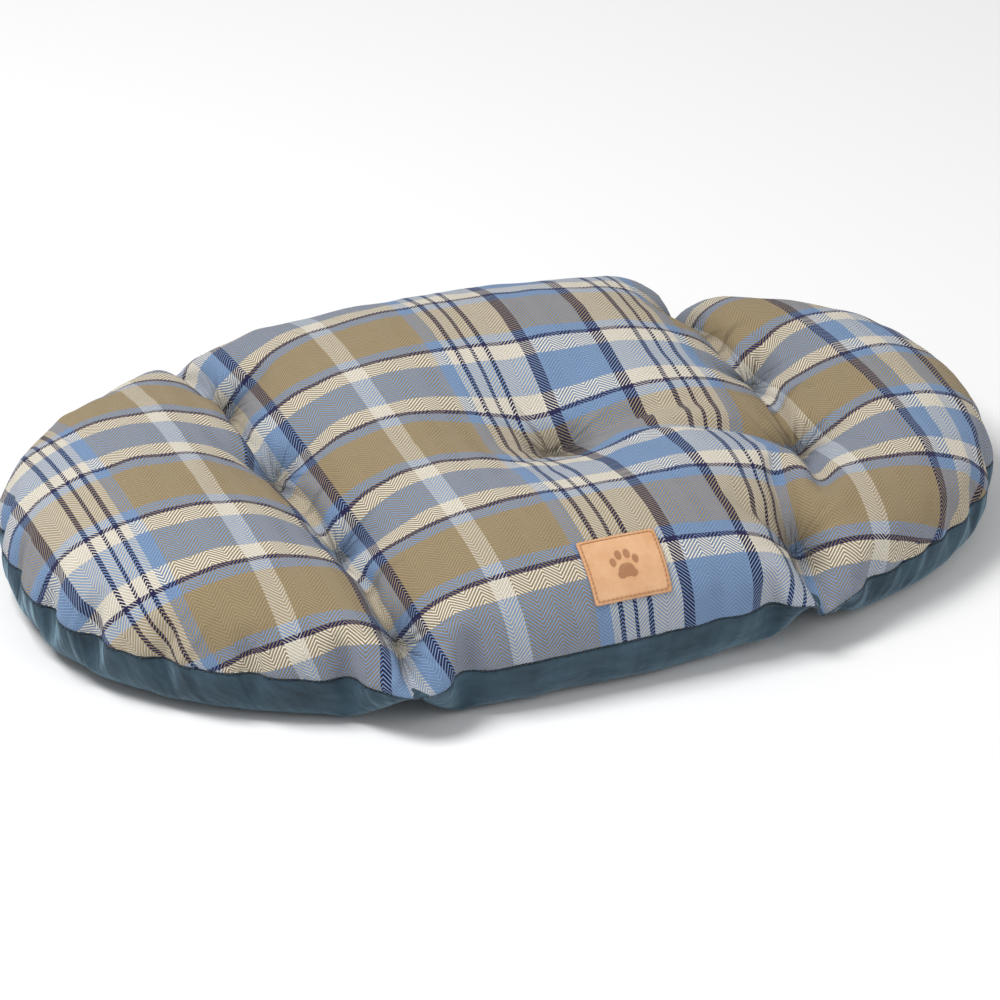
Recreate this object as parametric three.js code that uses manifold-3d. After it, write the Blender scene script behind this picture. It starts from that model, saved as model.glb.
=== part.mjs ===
// Oval pet cushion bed: a checked top panel and a velvet bottom panel sewn together round the edge,
// a loose fibre filling between them, tuft stitches that tie the two panels together through the
// filling, and a leather patch sewn on near the front edge.
//
// Millimetres, +Z up. The origin is on the floor under the middle of the cushion. X runs along the
// cushion's length and the front edge, which carries the patch, faces -Y.

import * as THREE from "three";
import { mergeVertices } from "three/addons/utils/BufferGeometryUtils.js";
import Module from "manifold-3d";

const wasm = await Module();
wasm.setup();

// Driving dimensions of the cushion.
const LENGTH = 650;
const WIDTH = 420;
const CREST_HEIGHT = 109; // top of the filled lobes
const SEAM_HEIGHT = 38; // the edge seam stands this far off the floor
const OUTLINE_POWER = 2.3; // 2 is an ellipse, and more is squarer
const CLOTH = 1.6; // thickness of each panel
const GAP = 0.4; // clearance between neighbouring pieces

// Tufts, as [x, y]: a column of four at each end and one between them.
const MIDDLE_TUFT = [28, -8];
const TUFTS = [
  [-142, 135],
  [-143, 30],
  [-136, -70],
  [-134, -166],
  MIDDLE_TUFT,
  [174, 142],
  [186, 56],
  [177, -46],
  [131, -150],
];
const TUFT_HEIGHT = 50; // the outside of the top panel at a tuft
const TUFT_FOOT_HEIGHT = 29; // the outside of the bottom panel at a tuft
const TUFT_RADIUS = 84; // how far a tuft draws the top panel down round it
const TUFT_FOOT_RADIUS = 62; // how far it draws the bottom panel up
const CREASE_WIDTH = 50; // half width of the valley between neighbouring tufts
const CREASE_DEPTH = 0.55; // share of the lobe height that a valley takes away

// Places on the edge where a valley draws the outline in.
const NOTCHES = {
  backLeft: [-146, 190],
  backRight: [176, 184],
  frontLeft: [-134, -196],
  frontRight: [132, -197],
};
const NOTCH_RADIUS = 62;
const NOTCH_SHARE = 0.045; // share of the outline's size that a notch takes away

// Valleys, as pairs of points that each one joins.
const CREASES = [
  [NOTCHES.backLeft, TUFTS[0]],
  [TUFTS[0], TUFTS[1]],
  [TUFTS[1], TUFTS[2]],
  [TUFTS[2], TUFTS[3]],
  [TUFTS[3], NOTCHES.frontLeft],
  [TUFTS[1], MIDDLE_TUFT],
  [TUFTS[2], MIDDLE_TUFT],
  [MIDDLE_TUFT, TUFTS[6]],
  [MIDDLE_TUFT, TUFTS[7]],
  [NOTCHES.backRight, TUFTS[5]],
  [TUFTS[5], TUFTS[6]],
  [TUFTS[6], TUFTS[7]],
  [TUFTS[7], TUFTS[8]],
  [TUFTS[8], NOTCHES.frontRight],
];

// Threads.
const THREAD_RADIUS = 1.1; // the bundle of yarn in a tuft
const TUFT_BAR_LENGTH = 11; // the stitched bar that shows at each end of a tuft
const HOLE_CLEARANCE = 0.4;
const SEAM_THREAD_RADIUS = 0.5;
const LABEL_THREAD_RADIUS = 0.4;

// Leather patch.
const LABEL_CENTRE_X = 21;
const LABEL_TOP_Y = -148; // plan position of the patch's upper edge
const LABEL_WIDTH = 52;
const LABEL_HEIGHT = 44; // measured along the slope that it lies on
const LABEL_THICKNESS = 1.6;
const LABEL_STITCH_INSET = 3.2;
const LABEL_GAP = 0.7;

// Plan grid that all the panels share: rings from the middle to the edge, and points round each.
const RING_SHARES = [0.1, 0.2, 0.3, 0.4, 0.5, 0.6, 0.69, 0.78, 0.87, 0.945, 0.975, 1];
const POINTS_ROUND = 60;
const FILLING_RINGS = 10; // the filling stops inside the seam allowance
const ALLOWANCE_ROOT_SHARE = 0.988; // where the folded-in seam allowance meets the panel
const SEAM_SHARE = 0.985; // the seam thread's place, as a share of the outline
const FLAT_SHARE = 0.72; // the bottom panel lies flat on the floor inside this share

const SEAM_HALF_GAP = SEAM_THREAD_RADIUS + GAP; // from the seam's middle to each panel
const RIM_RISE = SEAM_HALF_GAP + 3 * CLOTH; // height of each panel's turned edge from the seam's middle

// ---------------------------------------------------------------- shape of the cushion

// 1 at no distance, falling smoothly to 0 at the radius.
function bump(distance, radius) {
  return distance < radius ? (1 - (distance / radius) ** 2) ** 2 : 0;
}

// What the notches leave of the outline's size, beside a point of the plain outline.
function shareLeftByNotches(x, y) {
  const depths = Object.values(NOTCHES).map(([nx, ny]) => bump(Math.hypot(x - nx, y - ny), NOTCH_RADIUS));
  return 1 - NOTCH_SHARE * Math.max(...depths);
}

// A point at an angle round the outline, drawn in towards the middle tuft: 0 there, 1 on the edge.
function outlinePoint(share, angle) {
  const curved = (value) => Math.sign(value) * Math.abs(value) ** (2 / OUTLINE_POWER);
  let x = (LENGTH * curved(Math.cos(angle))) / 2;
  let y = (WIDTH * curved(Math.sin(angle))) / 2;
  const kept = shareLeftByNotches(x, y);
  x *= kept;
  y *= kept;
  return [
    MIDDLE_TUFT[0] + share * (x - MIDDLE_TUFT[0]),
    MIDDLE_TUFT[1] + share * (y - MIDDLE_TUFT[1]),
  ];
}

// 0 in the middle of the cushion and 1 on its outline.
function outlineShare(x, y) {
  const across = Math.abs(x / (LENGTH / 2)) ** OUTLINE_POWER;
  const along = Math.abs(y / (WIDTH / 2)) ** OUTLINE_POWER;
  const plain = (across + along) ** (1 / OUTLINE_POWER);
  return Math.min(1, plain / shareLeftByNotches(x / plain, y / plain));
}

function distanceToSegment(x, y, [[ax, ay], [bx, by]]) {
  const dx = bx - ax;
  const dy = by - ay;
  const along = ((x - ax) * dx + (y - ay) * dy) / (dx * dx + dy * dy);
  const t = Math.min(1, Math.max(0, along));
  return Math.hypot(x - ax - t * dx, y - ay - t * dy);
}

// How much the nearest tuft draws a place in: 1 at the tuft, 0 beyond its radius.
function tuftPull(x, y, radius) {
  return Math.max(...TUFTS.map(([tx, ty]) => bump(Math.hypot(x - tx, y - ty), radius)));
}

// How much the nearest valley draws a place in.
function creasePull(x, y) {
  const nearest = Math.min(...CREASES.map((crease) => distanceToSegment(x, y, crease)));
  return CREASE_DEPTH * bump(nearest, CREASE_WIDTH);
}

// Outside of the top panel.
function topHeight(x, y) {
  const low = SEAM_HEIGHT + RIM_RISE;
  const dome = Math.sqrt(1 - outlineShare(x, y) ** 3);
  const lobe = low + (CREST_HEIGHT - low) * dome * (1 - creasePull(x, y));
  return lobe + (TUFT_HEIGHT - lobe) * tuftPull(x, y, TUFT_RADIUS);
}

// Outside of the bottom panel: flat on the floor, curving up to the seam, drawn up at the tufts.
function bottomHeight(x, y) {
  const beyondFlat = Math.max(0, (outlineShare(x, y) - FLAT_SHARE) / (1 - FLAT_SHARE));
  const edge = (SEAM_HEIGHT - RIM_RISE) * (1 - Math.sqrt(1 - beyondFlat ** 2));
  return edge + Math.max(0, TUFT_FOOT_HEIGHT - edge) * tuftPull(x, y, TUFT_FOOT_RADIUS);
}

// ---------------------------------------------------------------- meshes from rings of points

function planGrid() {
  const angles = Array.from({ length: POINTS_ROUND }, (_, i) => (i * 2 * Math.PI) / POINTS_ROUND);
  const grid = RING_SHARES.map((share) => angles.map((angle) => outlinePoint(share, angle)));
  // The grid point nearest to each tuft moves onto it, so that the panels dip exactly there.
  for (const [tx, ty] of TUFTS.filter((tuft) => tuft !== MIDDLE_TUFT)) {
    let nearest = grid[0][0];
    for (const point of grid.flat()) {
      const closer = Math.hypot(point[0] - tx, point[1] - ty);
      if (closer < Math.hypot(nearest[0] - tx, nearest[1] - ty)) nearest = point;
    }
    nearest[0] = tx;
    nearest[1] = ty;
  }
  return grid;
}

const GRID = planGrid();

// How far the line between two plan points cuts through or over the top panel, at its middle.
function chordError([ax, ay], [bx, by]) {
  const onLine = (topHeight(ax, ay) + topHeight(bx, by)) / 2;
  return Math.abs(onLine - topHeight((ax + bx) / 2, (ay + by) / 2));
}

// For each quad of the grid, whether its split from the inner ring's next point fits the shape best.
const SPLIT_FROM_NEXT = GRID.slice(1).map((outer, r) =>
  outer.map((_, i) => {
    const next = (i + 1) % POINTS_ROUND;
    return chordError(GRID[r][next], outer[i]) < chordError(GRID[r][i], outer[next]);
  }),
);

function raised(ring, height) {
  return ring.map(([x, y]) => [x, y, height(x, y)]);
}

function middlePoint(height) {
  return [...MIDDLE_TUFT, height(...MIDDLE_TUFT)];
}

function outlineRing(share, z) {
  return GRID[0].map((_, i) => [...outlinePoint(share, (i * 2 * Math.PI) / POINTS_ROUND), z]);
}

// A closed surface through rings of points: out from a first pole, and back to a last one. Every
// layer splits the grid's quads along the same diagonals, so that one nests inside another.
function ringSolid(firstPole, outward, back, lastPole) {
  const rings = [...outward, ...back];
  const count = rings[0].length;
  const positions = [firstPole, ...rings.flat(), lastPole].flat();
  const last = 1 + rings.length * count;
  const at = (ring, point) => 1 + ring * count + (point % count);
  const faces = [];
  for (let i = 0; i < count; i++) {
    faces.push(0, at(0, i), at(0, i + 1));
    for (let ring = 0; ring < rings.length - 1; ring++) {
      const near = [at(ring, i), at(ring, i + 1)];
      const far = [at(ring + 1, i), at(ring + 1, i + 1)];
      const goesBack = ring >= outward.length;
      const gridRing = goesBack ? rings.length - 2 - ring : ring;
      const fromNext = SPLIT_FROM_NEXT[gridRing]?.[i] ?? false;
      if (fromNext === goesBack) {
        faces.push(near[0], far[0], far[1], near[0], far[1], near[1]);
      } else {
        faces.push(near[0], far[0], near[1], far[0], far[1], near[1]);
      }
    }
    faces.push(last, at(rings.length - 1, i + 1), at(rings.length - 1, i));
  }
  const geometry = new THREE.BufferGeometry();
  geometry.setAttribute("position", new THREE.Float32BufferAttribute(positions, 3));
  geometry.setIndex(faces);
  return geometry;
}

// A closed ring: cross-sections round a loop, each one a ring of points itself.
function loopSolid(sections) {
  const count = sections[0].length;
  const faces = [];
  sections.forEach((_, s) => {
    const next = (s + 1) % sections.length;
    for (let i = 0; i < count; i++) {
      const j = (i + 1) % count;
      faces.push(s * count + i, next * count + i, next * count + j);
      faces.push(s * count + i, next * count + j, s * count + j);
    }
  });
  const geometry = new THREE.BufferGeometry();
  const positions = sections.flat(2);
  geometry.setAttribute("position", new THREE.Float32BufferAttribute(positions, 3));
  geometry.setIndex(faces);
  return geometry;
}

// A closed thread of round section along a loop of points.
function threadLoop(points, radius, sides) {
  const path = points.map((p) => new THREE.Vector3(...p));
  const up = new THREE.Vector3(0, 0, 1);
  const sections = path.map((point, i) => {
    const before = path[(i + path.length - 1) % path.length];
    const after = path[(i + 1) % path.length];
    const forward = after.clone().sub(before).normalize();
    const side = forward.clone().cross(up).normalize();
    const lift = side.clone().cross(forward);
    return Array.from({ length: sides }, (_, k) => {
      const angle = (2 * Math.PI * k) / sides;
      return point
        .clone()
        .addScaledVector(side, radius * Math.cos(angle))
        .addScaledVector(lift, radius * Math.sin(angle))
        .toArray();
    });
  });
  return loopSolid(sections);
}

// ---------------------------------------------------------------- joining and cutting

function toSolid(geometry) {
  const bare = geometry.index ? geometry.toNonIndexed() : geometry.clone();
  bare.deleteAttribute("normal");
  bare.deleteAttribute("uv");
  const merged = mergeVertices(bare, 1e-3);
  return new wasm.Manifold(
    new wasm.Mesh({
      numProp: 3,
      vertProperties: merged.attributes.position.array,
      triVerts: new Uint32Array(merged.index.array),
    }),
  );
}

function toGeometry(solid) {
  const mesh = solid.getMesh();
  const geometry = new THREE.BufferGeometry();
  geometry.setAttribute("position", new THREE.BufferAttribute(mesh.vertProperties, 3));
  geometry.setIndex(new THREE.BufferAttribute(mesh.triVerts, 1));
  return geometry;
}

function uprightCylinder(radius, height, sides) {
  return new THREE.CylinderGeometry(radius, radius, height, sides).rotateX(Math.PI / 2);
}

// Makes room for the tuft stitches that pass through a piece.
function withTuftHoles(geometry) {
  let solid = toSolid(geometry);
  for (const [x, y] of TUFTS) {
    const hole = uprightCylinder(THREAD_RADIUS + HOLE_CLEARANCE, 3 * CREST_HEIGHT, 8);
    solid = solid.subtract(toSolid(hole.translate(x, y, 0)));
  }
  return toGeometry(solid);
}

// ---------------------------------------------------------------- the pieces

// A panel with its turned-in seam allowance. side is 1 for the top panel and -1 for the bottom one.
function panelGeometry(height, side) {
  const inner = (x, y) => height(x, y) - side * CLOTH;
  const edge = RING_SHARES.length - 1;
  const seamFace = SEAM_HEIGHT + side * SEAM_HALF_GAP;
  const allowanceFace = seamFace + side * CLOTH;
  const flat = (ring, z) => GRID[ring].map(([x, y]) => [x, y, z]);
  const outward = [
    ...GRID.map((ring) => raised(ring, height)),
    flat(edge, seamFace),
    flat(edge - 1, seamFace),
    flat(edge - 1, allowanceFace),
    outlineRing(ALLOWANCE_ROOT_SHARE, allowanceFace),
  ];
  const back = GRID.slice(0, edge).toReversed().map((ring) => raised(ring, inner));
  const geometry = ringSolid(middlePoint(height), outward, back, middlePoint(inner));
  return withTuftHoles(side > 0 ? geometry : turnedInsideOut(geometry));
}

function turnedInsideOut(geometry) {
  const faces = geometry.index.array;
  for (let i = 0; i < faces.length; i += 3) {
    [faces[i + 1], faces[i + 2]] = [faces[i + 2], faces[i + 1]];
  }
  return geometry;
}

function fillingGeometry() {
  const inside = CLOTH + GAP;
  const top = (x, y) => topHeight(x, y) - inside;
  const bottom = (x, y) => bottomHeight(x, y) + inside;
  const used = GRID.slice(0, FILLING_RINGS);
  const upper = used.map((ring) => raised(ring, top));
  const lower = used.toReversed().map((ring) => raised(ring, bottom));
  const geometry = ringSolid(middlePoint(top), upper, lower, middlePoint(bottom));
  return withTuftHoles(geometry);
}

// Height of a piece's surface over a place, seen from above (side 1) or below (side -1).
function surfaceAt(mesh, x, y, side) {
  const start = new THREE.Vector3(x, y, side * 3 * CREST_HEIGHT);
  const ray = new THREE.Raycaster(start, new THREE.Vector3(0, 0, -side));
  return ray.intersectObject(mesh)[0].point.z;
}

// A stitched bar that lies on a panel in a tuft's dimple.
function tuftBar(panel, [x, y], side) {
  const reach = TUFT_BAR_LENGTH / 2;
  const heights = [-reach, reach].map((dx) => side * surfaceAt(panel, x + dx, y, side));
  const z = side * (Math.max(...heights) + GAP + THREAD_RADIUS);
  const straight = TUFT_BAR_LENGTH - 2 * THREAD_RADIUS;
  const bar = new THREE.CapsuleGeometry(THREAD_RADIUS, straight, 3, 8);
  return { bar: bar.rotateZ(Math.PI / 2).translate(x, y, z), z };
}

// The yarn of one tuft: a bar above, a bar below and the strand that joins them.
function tuftStitchGeometry(topPanel, bottomPanel, tuft) {
  const above = tuftBar(topPanel, tuft, 1);
  const below = tuftBar(bottomPanel, tuft, -1);
  const strand = uprightCylinder(THREAD_RADIUS, above.z - below.z, 8);
  strand.translate(tuft[0], tuft[1], (above.z + below.z) / 2);
  return toGeometry(toSolid(strand).add(toSolid(above.bar)).add(toSolid(below.bar)));
}

function seamThreadGeometry() {
  const path = outlineRing(SEAM_SHARE, SEAM_HEIGHT);
  return threadLoop(path, SEAM_THREAD_RADIUS, 6);
}

// The top panel's outward direction at a place.
function topNormal(x, y) {
  const step = 2;
  const slopeX = (topHeight(x + step, y) - topHeight(x - step, y)) / (2 * step);
  const slopeY = (topHeight(x, y + step) - topHeight(x, y - step)) / (2 * step);
  return new THREE.Vector3(-slopeX, -slopeY, 1).normalize();
}

// A point a distance down the slope from the patch's upper edge, lifted off the top panel.
function labelPoint(across, down, lift) {
  const x = LABEL_CENTRE_X + across;
  const step = 0.5;
  let y = LABEL_TOP_Y;
  for (let walked = 0; walked < down; ) {
    walked += Math.hypot(step, topHeight(x, y - step) - topHeight(x, y));
    y -= step;
  }
  const foot = new THREE.Vector3(x, y, topHeight(x, y));
  return foot.addScaledVector(topNormal(x, y), lift).toArray();
}

// A rounded plate that follows the slope: a loft across its height, one section for each row.
function labelGeometry() {
  const columns = 8;
  const rows = 7;
  const under = [];
  const over = [];
  for (let row = 0; row <= rows; row++) {
    for (let column = 0; column <= columns; column++) {
      const across = (column / columns - 0.5) * LABEL_WIDTH;
      const down = (row / rows) * LABEL_HEIGHT;
      under.push(labelPoint(across, down, LABEL_GAP));
      over.push(labelPoint(across, down, LABEL_GAP + LABEL_THICKNESS));
    }
  }
  const wide = columns + 1;
  const layer = under.length;
  const faces = [];
  for (let row = 0; row < rows; row++) {
    for (let column = 0; column < columns; column++) {
      const a = row * wide + column;
      const corners = [a, a + 1, a + wide + 1, a + wide];
      faces.push(corners[0], corners[1], corners[2], corners[0], corners[2], corners[3]);
      const [p, q, r, s] = corners.map((corner) => corner + layer);
      faces.push(p, r, q, p, s, r);
    }
  }
  const wall = (a, b) => faces.push(a, a + layer, b, b, a + layer, b + layer);
  for (let column = 0; column < columns; column++) {
    wall(column, column + 1);
    wall(rows * wide + column + 1, rows * wide + column);
  }
  for (let row = 0; row < rows; row++) {
    wall((row + 1) * wide, row * wide);
    wall(row * wide + columns, (row + 1) * wide + columns);
  }
  const geometry = new THREE.BufferGeometry();
  geometry.setAttribute("position", new THREE.Float32BufferAttribute([...under, ...over].flat(), 3));
  geometry.setIndex(faces);
  return geometry;
}

// The thread that runs round the patch just inside its edges.
function labelStitchingGeometry() {
  const lift = LABEL_GAP + LABEL_THICKNESS + GAP + LABEL_THREAD_RADIUS;
  const right = LABEL_WIDTH / 2 - LABEL_STITCH_INSET;
  const top = LABEL_STITCH_INSET;
  const bottom = LABEL_HEIGHT - LABEL_STITCH_INSET;
  const corners = [
    [-right, top],
    [-right, bottom],
    [right, bottom],
    [right, top],
  ];
  const stepsPerSide = 8;
  const path = corners.flatMap(([x, y], i) => {
    const [nextX, nextY] = corners[(i + 1) % corners.length];
    return Array.from({ length: stepsPerSide }, (_, k) => {
      const t = (k + 0.5) / stepsPerSide;
      return labelPoint(x + t * (nextX - x), y + t * (nextY - y), lift);
    });
  });
  return threadLoop(path, LABEL_THREAD_RADIUS, 6);
}

// ---------------------------------------------------------------- the assembly

const material = (color, roughness) =>
  new THREE.MeshStandardMaterial({ color, roughness, metalness: 0 });
const MATERIALS = {
  check: material(0xa99f88, 0.9),
  velvet: material(0x24404d, 0.7),
  fibre: material(0xf2f1ec, 1),
  yarn: material(0x2b2d5e, 0.8),
  seamThread: material(0x2a3d48, 0.8),
  leather: material(0xd89b66, 0.6),
  leatherThread: material(0x9c6236, 0.7),
};

const cushion = new THREE.Group();

function addPiece(name, geometry, pieceMaterial) {
  const mesh = new THREE.Mesh(geometry, pieceMaterial);
  mesh.name = name;
  cushion.add(mesh);
  return mesh;
}

const topCover = addPiece("top_cover", panelGeometry(topHeight, 1), MATERIALS.check);
const bottomCover = addPiece("bottom_cover", panelGeometry(bottomHeight, -1), MATERIALS.velvet);
addPiece("fibre_filling", fillingGeometry(), MATERIALS.fibre);
addPiece("edge_seam_thread", seamThreadGeometry(), MATERIALS.seamThread);
TUFTS.forEach((tuft, i) => {
  // The strand runs down the cut hole, so the bars are placed beside it, on whole cloth.
  const geometry = tuftStitchGeometry(topCover, bottomCover, tuft);
  addPiece(`tuft_stitch_${i + 1}`, geometry, MATERIALS.yarn);
});
addPiece("leather_patch", labelGeometry(), MATERIALS.leather);
addPiece("patch_stitching", labelStitchingGeometry(), MATERIALS.leatherThread);

export default cushion;
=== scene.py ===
"""Oval tufted pet cushion: two flat cloth panels are sewn together, stuffed and tied by simulation.

Both panels start as the same flat oval. The simulation shares the vertices of the seam between
them, ties them together at the tufts, and fills them until the cloth is tight. Lengths inside the
simulation are millimetres; every finished mesh is in metres.
"""
import math

import bpy
import numpy as np
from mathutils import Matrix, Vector, noise
from mathutils.geometry import delaunay_2d_cdt


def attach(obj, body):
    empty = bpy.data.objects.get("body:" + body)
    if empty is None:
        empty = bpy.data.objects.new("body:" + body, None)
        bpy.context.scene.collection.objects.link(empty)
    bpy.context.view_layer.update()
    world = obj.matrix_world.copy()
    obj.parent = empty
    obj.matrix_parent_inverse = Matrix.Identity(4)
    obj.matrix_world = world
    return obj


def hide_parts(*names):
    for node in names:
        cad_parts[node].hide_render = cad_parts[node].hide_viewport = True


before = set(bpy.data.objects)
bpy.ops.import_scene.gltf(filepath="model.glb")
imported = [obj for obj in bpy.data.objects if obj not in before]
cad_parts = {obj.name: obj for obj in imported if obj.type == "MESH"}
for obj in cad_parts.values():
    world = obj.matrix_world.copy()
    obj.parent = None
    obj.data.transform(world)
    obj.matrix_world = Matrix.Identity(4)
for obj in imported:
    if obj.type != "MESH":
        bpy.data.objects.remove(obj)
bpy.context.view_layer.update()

# ------------------------------------------------------------------ dimensions, in millimetres

LENGTH = 650.0  # finished length of the cushion
FLAT_HALF = np.array([372.0, 232.0])  # half the length and width of each flat panel
FLAT_POWER = 2.3  # 2 is an ellipse, and more is squarer

# The check pattern's own coordinates: u along the cushion and v across it. They are a little off
# the panel's middle, because the cloth was cut without regard to its checks.
PATTERN_SCALE = np.array([0.979, 1.028])
PATTERN_SHIFT = np.array([14.5, -55.5])
PATTERN_SKEW = -0.05
TUFTS = [
    (-163, 185),
    (-165, 80),
    (-158, -15),
    (-160, -115),
    (28, 40),
    (197, 192),
    (203, 105),
    (190, 8),
    (143, -108),
]
TUFT_THICKNESS = 8.0  # between the two panels where a tuft ties them

PATCH_CENTRE = (3.0, -124.0)  # in pattern coordinates
PATCH_SIZE = (52.0, 43.0)
PATCH_CORNER = 1.4
PATCH_THICKNESS = 1.5
PATCH_GAP = 0.3
STITCH_INSET = 2.1  # from the patch's edge to its stitches
STITCH_PITCH = 3.0

CLOTH_THICKNESS = 1.2
FILLING_INSET = 2.8
FILLING_DRAW = 0.06  # share of the way to the middle that the filling is drawn in besides
FILLING_SHARE = 0.93  # it ends at this share of the outline, inside the seam allowance

# ------------------------------------------------------------------ simulation settings

COARSE_SPACING = 14.0
COARSE_STEPS = 900
FINE_STEPS = 500
PUSH = 0.03  # how hard the filling presses outwards
FULL_THICKNESS = 265.0  # the filling stops pressing at this thickness
MOST_PUSH = 3.0
THIN = 40.0  # where the cushion is thinner than this the filling thins out and presses less
WEIGHT = 0.014
KEPT_SPEED = 0.985
STRETCH_GIVE = 0.15
BEND_GIVE = 12.0
SEAM_GATHER = 0.97  # the thread draws the seam in to this share of its length
LOW_SIZE = 0.985  # the bottom panel is cut to this share of the top one's length and width
SEED = 7
GRID_REACH = 60  # rows and columns of the vertex grid on each side of the middle
RIM_CLEARANCE = 0.62  # least distance of an inner vertex from the rim, in spacings
START_HEIGHT = 30.0  # the seam's height before the cushion is filled
START_RISE = 18.0  # how far each panel bulges then
LEAST_THICKNESS = 4.0


def to_flat(points):
    """Panel coordinates of points given in the pattern's coordinates."""
    u, v = np.asarray(points, float).T
    return np.stack([u + v * PATTERN_SKEW / PATTERN_SCALE[0], v], 1) * PATTERN_SCALE + PATTERN_SHIFT


def to_pattern(flat):
    """Pattern coordinates of points given in panel coordinates."""
    u, v = ((flat - PATTERN_SHIFT) / PATTERN_SCALE).T
    return np.stack([u - v * PATTERN_SKEW / PATTERN_SCALE[0], v], 1)


def outline_share(points):
    """0 in the middle of the flat panel and 1 on its outline."""
    scaled = np.abs(points / FLAT_HALF) ** FLAT_POWER
    return scaled.sum(1) ** (1 / FLAT_POWER)


def even_outline(spacing):
    """Points at even distances round the flat panel's outline."""
    angles = np.linspace(0, 2 * math.pi, 4001)
    ways = np.stack([np.cos(angles), np.sin(angles)], 1)
    points = FLAT_HALF * np.sign(ways) * np.abs(ways) ** (2 / FLAT_POWER)
    run = np.concatenate([[0], np.cumsum(np.hypot(*np.diff(points, axis=0).T))])
    places = np.linspace(0, run[-1], round(run[-1] / spacing), endpoint=False)
    return np.stack([np.interp(places, run, points[:, k]) for k in (0, 1)], 1)


def flat_panel(spacing):
    """The flat panel's vertices, rim first and in order, its triangles and its rim's length."""
    rim = even_outline(spacing)
    row_height = spacing * math.sqrt(3) / 2
    columns = np.arange(-GRID_REACH, GRID_REACH + 1)
    rows = [
        np.stack([(columns + (row % 2) / 2) * spacing, np.full(len(columns), row * row_height)], 1)
        for row in range(-GRID_REACH, GRID_REACH + 1)
    ]
    inner = np.concatenate(rows)
    inner = inner[outline_share(inner) < 1]
    to_rim = np.hypot(*(inner[:, None] - rim[None]).transpose(2, 0, 1)).min(1)
    inner = inner[to_rim > RIM_CLEARANCE * spacing]
    for tuft in to_flat(TUFTS):
        inner[np.argmin(np.hypot(*(inner - tuft).T))] = tuft
    points = [Vector(p) for p in np.concatenate([rim, inner]).tolist()]
    edges = [(i, (i + 1) % len(rim)) for i in range(len(rim))]
    vertices, _, faces, *_ = delaunay_2d_cdt(points, edges, [], 1, 1e-5)
    flat = np.array([tuple(v) for v in vertices])
    triangles = np.array([tuple(f) for f in faces])
    a, b, c = (flat[triangles[:, k]] for k in range(3))
    clockwise = np.cross(b - a, c - a) < 0
    triangles[clockwise] = triangles[clockwise][:, ::-1]
    return flat, triangles, len(rim)


def triangle_sides(triangles):
    """The three sides of every triangle as pairs of vertices: all first sides, then the others."""
    return np.concatenate([triangles[:, [0, 1]], triangles[:, [1, 2]], triangles[:, [2, 0]]])


def matchings(pairs, count, rng):
    """Splits pairs of vertices into batches in which no vertex occurs twice."""
    batches = []
    left = np.arange(len(pairs))
    while len(left):
        taken = np.zeros(count, bool)
        chosen = []
        candidates = left
        while len(candidates):
            rank = rng.permutation(len(candidates))
            best = np.full(count, -1)
            for end in (0, 1):
                np.maximum.at(best, pairs[candidates, end], rank)
            ends = pairs[candidates]
            won = candidates[(best[ends] == rank[:, None]).all(1)]
            chosen.append(won)
            taken[pairs[won]] = True
            candidates = candidates[~taken[ends].any(1)]
        batches.append(np.concatenate(chosen))
        left = np.setdiff1d(left, batches[-1])
    return batches


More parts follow.
